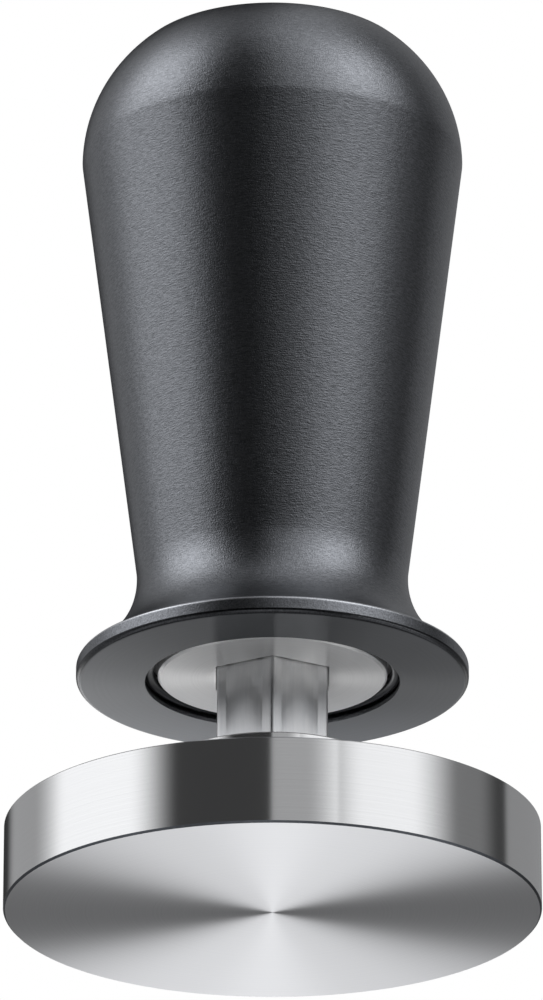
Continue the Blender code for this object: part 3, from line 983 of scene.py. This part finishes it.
nylon, nylon_shader = mottled("natural_nylon", "#dcd8ca", "#efebe0", 0.0, 0.38, 0.52, 1.5)
nylon_shader.inputs["IOR"].default_value = 1.53
nylon_shader.inputs["Subsurface Weight"].default_value = 0.15
nylon_shader.inputs["Subsurface Scale"].default_value = 0.001
oxide, _ = mottled("black_oxide_on_steel", "#1d1e20", "#34363a", 1.0, 0.30, 0.46, 1.2)
oiled, _ = mottled("oiled_spring_steel", "#6f6d69", "#9a9893", 1.0, 0.20, 0.36, 2.5)

# %% [markdown]
# **Washer, collar and seat.** The nylon washer is the soft stop at the end of the stroke. The
# collar above it is held to the shaft by the screw and carries the spring's lower end on its
# shoulder. The seat guides the upper end. All three are turned, so each is an outline. A piece
# with a hole has a closed outline that stays away from the axis.

# %% Turned pieces inside the handle
HIDDEN_STEPS = 128
BUMPER_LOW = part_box("bumper_washer")[0].z / MM
BUMPER_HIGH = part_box("bumper_washer")[1].z / MM
BUMPER_HOLE = 7.2
BUMPER_RADIUS = 9.5
MOULDED_EDGE = 0.35


def box_outline(hole, radius, low, high):
    return [(hole, low), (radius, low), (radius, high), (hole, high)]


def rounded_closed(outline, radius):
    """Fillet every corner of a closed outline."""
    around = softened([outline[-1], *outline, outline[0]], radius)
    return around[1:-1]


bumper_outline = box_outline(BUMPER_HOLE, BUMPER_RADIUS, BUMPER_LOW, BUMPER_HIGH)
finished(
    turned(rounded_closed(bumper_outline, MOULDED_EDGE), HIDDEN_STEPS, closed=True),
    "bumper_washer_ring", "base_body", "bumper_washer", nylon,
)

COLLAR_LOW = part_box("stop_collar")[0].z / MM
COLLAR_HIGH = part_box("stop_collar")[1].z / MM
COLLAR_STEP = COLLAR_LOW + 2.5
COLLAR_HOLE = 3.3
COLLAR_RADIUS = 9.6
COLLAR_EDGE = 0.2
NOSE_RADIUS = 7.0
NOSE_CHAMFER = 0.5
INNER_FILLET = 0.15
collar_outline = [
    (COLLAR_HOLE, COLLAR_LOW),
    (COLLAR_RADIUS, COLLAR_LOW),
    (COLLAR_RADIUS, COLLAR_STEP),
    (NOSE_RADIUS + INNER_FILLET, COLLAR_STEP),
    (NOSE_RADIUS, COLLAR_STEP + INNER_FILLET),
    (NOSE_RADIUS, COLLAR_HIGH - NOSE_CHAMFER),
    (NOSE_RADIUS - NOSE_CHAMFER, COLLAR_HIGH),
    (COLLAR_HOLE, COLLAR_HIGH),
]
finished(
    turned(rounded_closed(collar_outline, COLLAR_EDGE), HIDDEN_STEPS, closed=True),
    "stop_collar_disc", "base_body", "stop_collar", hidden_steel,
)

SEAT_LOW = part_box("spring_seat")[0].z / MM
SEAT_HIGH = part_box("spring_seat")[1].z / MM
SEAT_STEP = SEAT_HIGH - 2.0
SEAT_RADIUS = 9.9
SEAT_CHAMFER = 0.3
CENTRE_MARK_RADIUS = 1.4
CENTRE_MARK_DEPTH = 0.9
seat_outline = [
    (0, SEAT_LOW + CENTRE_MARK_DEPTH),
    (CENTRE_MARK_RADIUS, SEAT_LOW),
    (NOSE_RADIUS - NOSE_CHAMFER, SEAT_LOW),
    (NOSE_RADIUS, SEAT_LOW + NOSE_CHAMFER),
    (NOSE_RADIUS, SEAT_STEP - INNER_FILLET),
    (NOSE_RADIUS + INNER_FILLET, SEAT_STEP),
    (SEAT_RADIUS, SEAT_STEP),
    (SEAT_RADIUS, SEAT_HIGH - SEAT_CHAMFER),
    (SEAT_RADIUS - SEAT_CHAMFER, SEAT_HIGH),
    (0, SEAT_HIGH),
]
finished(
    turned(softened(seat_outline, INNER_FILLET), HIDDEN_STEPS), "spring_seat_disc",
    "handle_body", "spring_seat", hidden_steel,
)

# %% [markdown]
# **The lock washer.** A square wire bent into a ring with a slot. It is made as the snap ring
# is, from another section. The springy washer is shown screwed down flat.

# %% Lock washer
WASHER_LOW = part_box("lock_washer")[0].z / MM
WASHER_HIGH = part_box("lock_washer")[1].z / MM
WASHER_HOLE = 3.1
WASHER_RADIUS = 5.2
WASHER_EDGE = 0.2
WASHER_SLOT = 10
WASHER_STEPS = 120


def swept(bm, section, angle, rise, steps):
    """Turn a section about Z and lift it. Returns the edges of its far end.

    Each spin step takes longer the more mesh there is, so one spin makes only one turn.
    """
    turns = max(1, round(angle / math.tau))
    for _ in range(turns):
        points = list({vert for edge in section for vert in edge.verts})
        made = bmesh.ops.spin(
            bm, geom=points + section, cent=(0, 0, 0), axis=(0, 0, 1), angle=angle / turns,
            dvec=(0, 0, rise / steps), steps=steps // turns, use_merge=False,
        )
        section = [item for item in made["geom_last"] if isinstance(item, bmesh.types.BMEdge)]
    return section


def drawn_section(bm, outline, turn=0.0):
    """A closed outline of (radius, height) points, stood up at an angle about Z."""
    points = [bm.verts.new((radius, 0, height)) for radius, height in outline]
    bmesh.ops.rotate(bm, verts=points, matrix=Matrix.Rotation(turn, 3, "Z"))
    return [bm.edges.new(pair) for pair in zip(points, points[1:] + points[:1])]


def capped(bm, *ends):
    """Close each loop of edges with a face."""
    for end in ends:
        bmesh.ops.contextual_create(bm, geom=end)
    return bm


bm = bmesh.new()
square = rounded_closed(
    box_outline(WASHER_HOLE, WASHER_RADIUS, WASHER_LOW, WASHER_HIGH), WASHER_EDGE
)
near_end = drawn_section(bm, square, math.radians(90 + WASHER_SLOT / 2))
far_end = swept(bm, near_end, math.radians(360 - WASHER_SLOT), 0, WASHER_STEPS)
finished(
    capped(bm, near_end, far_end), "lock_washer_ring", "base_body", "lock_washer",
    oiled,
)

# %% [markdown]
# **The main spring.** A round wire along a helix: a circle is turned about Z and lifted at
# the same time. The first and the last turn rise by less, so that the ends sit flat against
# the collar and the seat.
#
# One end of the spring stays and the other moves, so neither body truly fits it; here it rides on
# the base's body.

# %% Main spring
SPRING_RADIUS = 8.5
WIRE_RADIUS = 1.1
WIRE_SIDES = 18
SPRING_LOW = 36.8
SPRING_HIGH = 79.9
ACTIVE_TURNS = 11
CLOSE_RISE = 2.5
STEPS_A_TURN = 44
active_rise = SPRING_HIGH - SPRING_LOW - 2 * WIRE_RADIUS - 2 * CLOSE_RISE

bm = bmesh.new()
last_angle = 360 - 360 / WIRE_SIDES
wire_center = (SPRING_RADIUS, SPRING_LOW + WIRE_RADIUS)
wire = arc(wire_center, WIRE_RADIUS, 0, last_angle, steps=WIRE_SIDES - 1)
lower_end = drawn_section(bm, wire)
coil = swept(bm, lower_end, math.tau, CLOSE_RISE, STEPS_A_TURN)
coil = swept(bm, coil, math.tau * ACTIVE_TURNS, active_rise, STEPS_A_TURN * ACTIVE_TURNS)
upper_end = swept(bm, coil, math.tau, CLOSE_RISE, STEPS_A_TURN)
spring = finished(
    capped(bm, lower_end, upper_end), "main_spring_coil", "base_body", "main_spring",
    oiled,
)
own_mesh(spring)

# %% [markdown]
# **Threads.** A real thread is one groove that winds up a rod. The outline of one pitch is
# turned about Z and lifted by one pitch a turn, so each turn starts where the last one ended.
# Two level cuts with Bisect then trim the ends. A ring of grooves would look much the same,
# but it couldn't be screwed in.

# %% Thread helper
THREAD_STEPS = 36
LEAD_IN = 0.5
# One pitch of the outline: how far up the pitch, and whether it is at the crest.
PITCH_OUTLINE = [(0, 0), (0.10, 0), (0.44, 1), (0.56, 1), (0.90, 0), (1.0, 0)]


def thread(bm, core, crest, pitch, low, high):
    """A threaded rod between two heights. Returns its lower and upper border edges."""
    turns = math.ceil((high - low) / pitch) + 2
    start = low - pitch
    points = [
        bm.verts.new((crest if at_crest else core, 0, start + part * pitch))
        for part, at_crest in PITCH_OUTLINE
    ]
    edges = [bm.edges.new(pair) for pair in zip(points, points[1:])]
    swept(bm, edges, math.tau * turns, pitch * turns, THREAD_STEPS * turns)
    bmesh.ops.remove_doubles(bm, verts=bm.verts, dist=0.001)
    for level, up in ((low, -1), (high, 1)):
        bmesh.ops.bisect_plane(
            bm, geom=bm.verts[:] + bm.edges[:] + bm.faces[:], plane_co=(0, 0, level),
            plane_no=(0, 0, up), clear_outer=True,
        )
    border = [edge for edge in bm.edges if edge.is_boundary]
    middle = (low + high) / 2
    lower = [edge for edge in border if edge.verts[0].co.z < middle]
    upper = [edge for edge in border if edge.verts[0].co.z >= middle]
    return lower, upper


def lead_in(bm, border, shrink, rise):
    """Draw a border in and out along Z, as the bevelled start of a screw."""
    made = bmesh.ops.extrude_edge_only(bm, edges=border)["geom"]
    points = [item for item in made if isinstance(item, bmesh.types.BMVert)]
    bmesh.ops.scale(bm, verts=points, vec=(shrink, shrink, 1))
    bmesh.ops.translate(bm, verts=points, vec=(0, 0, rise))
    return [item for item in made if isinstance(item, bmesh.types.BMEdge) and item.is_boundary]


# %% [markdown]
# **The stud.** A grub screw that joins the base to the shaft, with a hexagonal socket in its
# upper end.

# %% Base stud
STUD_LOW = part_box("base_stud")[0].z / MM
STUD_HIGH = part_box("base_stud")[1].z / MM
STUD_CORE = 3.25
STUD_CREST = 3.7
STUD_PITCH = 1.25
STUD_POINT = 0.86
STUD_FLATS = 4.0
STUD_SOCKET = 3.5

bm = bmesh.new()
lower, upper = thread(
    bm, STUD_CORE, STUD_CREST, STUD_PITCH, STUD_LOW + LEAD_IN, STUD_HIGH - LEAD_IN
)
foot = lead_in(bm, lower, STUD_POINT, -LEAD_IN)
mouth = lead_in(bm, upper, STUD_POINT, LEAD_IN)
socket_mouth = hexagon_loop(bm, STUD_FLATS, STUD_HIGH)
socket_end = hexagon_loop(bm, STUD_FLATS, STUD_HIGH - STUD_SOCKET)
bmesh.ops.bridge_loops(bm, edges=mouth + socket_mouth)
bmesh.ops.bridge_loops(bm, edges=socket_mouth + socket_end)
finished(
    capped(bm, foot, socket_end), "base_stud_screw", "base_body", "base_stud",
    oxide,
)

# %% [markdown]
# **The collar screw.** A socket-head screw that goes through the collar into the shaft.

# %% Collar screw
SCREW_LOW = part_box("collar_screw")[0].z / MM
SCREW_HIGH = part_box("collar_screw")[1].z / MM
HEAD_LOW = SCREW_HIGH - 6.0
SCREW_CORE = 2.45
SCREW_CREST = 2.85
SCREW_PITCH = 1.0
SCREW_POINT = 0.84
HEAD_RADIUS = 5.0
HEAD_LOWER_EDGE = 0.3
HEAD_UPPER_EDGE = 0.4
SCREW_FLATS = 5.0
SCREW_SOCKET = 3.0
SOCKET_EDGE = 0.15

bm = bmesh.new()
lower, upper = thread(bm, SCREW_CORE, SCREW_CREST, SCREW_PITCH, SCREW_LOW + LEAD_IN, HEAD_LOW)
foot = lead_in(bm, lower, SCREW_POINT, -LEAD_IN)
head = [
    round_loop(bm, HEAD_RADIUS - HEAD_LOWER_EDGE, HEAD_LOW),
    round_loop(bm, HEAD_RADIUS, HEAD_LOW + HEAD_LOWER_EDGE),
    round_loop(bm, HEAD_RADIUS, SCREW_HIGH - HEAD_UPPER_EDGE),
    round_loop(bm, HEAD_RADIUS - HEAD_UPPER_EDGE, SCREW_HIGH),
    hexagon_loop(bm, SCREW_FLATS + 2 * SOCKET_EDGE, SCREW_HIGH),
    hexagon_loop(bm, SCREW_FLATS, SCREW_HIGH - SOCKET_EDGE),
    hexagon_loop(bm, SCREW_FLATS, SCREW_HIGH - SCREW_SOCKET),
]
for near, far in zip([upper, *head], head):
    bmesh.ops.bridge_loops(bm, edges=near + far)
finished(
    capped(bm, foot, head[-1]), "collar_screw_bolt", "base_body", "collar_screw",
    oxide,
)
